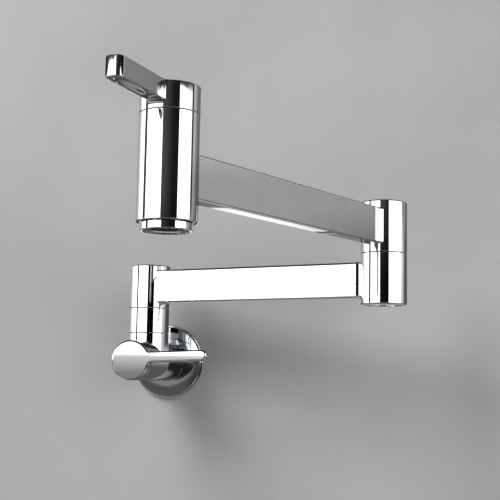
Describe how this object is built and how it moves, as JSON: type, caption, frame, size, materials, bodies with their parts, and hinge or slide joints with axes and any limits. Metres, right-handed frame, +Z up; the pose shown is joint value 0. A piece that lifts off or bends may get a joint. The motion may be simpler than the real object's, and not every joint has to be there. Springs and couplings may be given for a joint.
{
  "type": "wall mounted pot filler",
  "caption": "Wall mounted swing tap with a jointed two part arm, a shutoff lever at the wall and a lever valve on the upright spout.",
  "frame": {"origin": "centre of the wall flange, on the wall", "axes": "+Y into the wall, +Z up, +X to the right as seen from the room"},
  "size_m": [0.2522, 0.4011, 0.1779],
  "materials": {
    "polished_chrome": "mirror polished chrome plate on brass",
    "machined_brass": "plain turned brass",
    "stainless_steel": "plain stainless steel",
    "black_rubber": "matt black nitrile rubber",
    "white_ceramic": "smooth lapped ceramic",
    "black_plastic": "dark moulded plastic",
    "white_acetal": "plain white acetal"
  },
  "bodies": {
    "wall_base": {"wall_flange": "polished_chrome", "flange_gasket": "black_rubber", "flange_o_ring": "black_rubber", "valve_body": "polished_chrome", "shutoff_seat_seal": "black_rubber", "shutoff_cartridge_housing": "machined_brass", "shutoff_disc_fixed": "white_ceramic", "shutoff_cartridge_nut": "machined_brass", "base_collar": "polished_chrome", "base_spindle": "machined_brass", "base_spindle_seal": "black_rubber", "base_o_ring_lower": "black_rubber", "base_o_ring_upper": "black_rubber", "base_retaining_washer": "stainless_steel", "base_retaining_nut": "machined_brass"},
    "shutoff_lever": {"shutoff_handle": "polished_chrome", "shutoff_set_screw": "stainless_steel", "shutoff_stem": "machined_brass", "shutoff_stem_o_ring": "black_rubber", "shutoff_disc_moving": "white_ceramic"},
    "lower_arm": {"lower_arm": "polished_chrome", "base_cap": "polished_chrome", "base_thrust_washer": "white_acetal", "elbow_spindle": "machined_brass", "elbow_o_ring_1": "black_rubber", "elbow_o_ring_2": "black_rubber", "elbow_o_ring_3": "black_rubber", "elbow_o_ring_4": "black_rubber", "elbow_retaining_washer": "stainless_steel", "elbow_retaining_nut": "machined_brass", "elbow_bottom_plug": "polished_chrome"},
    "upper_arm": {"upper_arm": "polished_chrome", "elbow_cap": "polished_chrome", "elbow_thrust_washer": "white_acetal", "spout_body": "polished_chrome", "spout_seat_seal": "black_rubber", "spout_cartridge_housing": "machined_brass", "spout_disc_fixed": "white_ceramic", "spout_cartridge_nut": "machined_brass", "aerator_housing": "polished_chrome", "aerator_insert": "black_plastic", "aerator_washer": "black_rubber"},
    "spout_lever": {"spout_handle": "polished_chrome", "spout_set_screw": "stainless_steel", "spout_stem": "machined_brass", "spout_stem_o_ring": "black_rubber", "spout_disc_moving": "white_ceramic"}
  },
  "joints": [
    {"name": "shutoff_turn", "type": "hinge", "parent": "wall_base", "child": "shutoff_lever", "pos_m": [0, -0.0833, 0], "axis": [0, 1, 0], "range_deg": [0, 90]},
    {"name": "base_swing", "type": "hinge", "parent": "wall_base", "child": "lower_arm", "pos_m": [0, -0.05, 0], "axis": [0, 0, 1], "range_deg": [-165, 15]},
    {"name": "elbow_swing", "type": "hinge", "parent": "lower_arm", "child": "upper_arm", "pos_m": [0.20375, -0.10482, 0], "axis": [0, 0, 1], "range_deg": [-85.4, 274.6]},
    {"name": "spout_valve_turn", "type": "hinge", "parent": "upper_arm", "child": "spout_lever", "pos_m": [0.12069, -0.33744, 0], "axis": [0, 0, 1], "range_deg": [0, 90]}
  ]
}
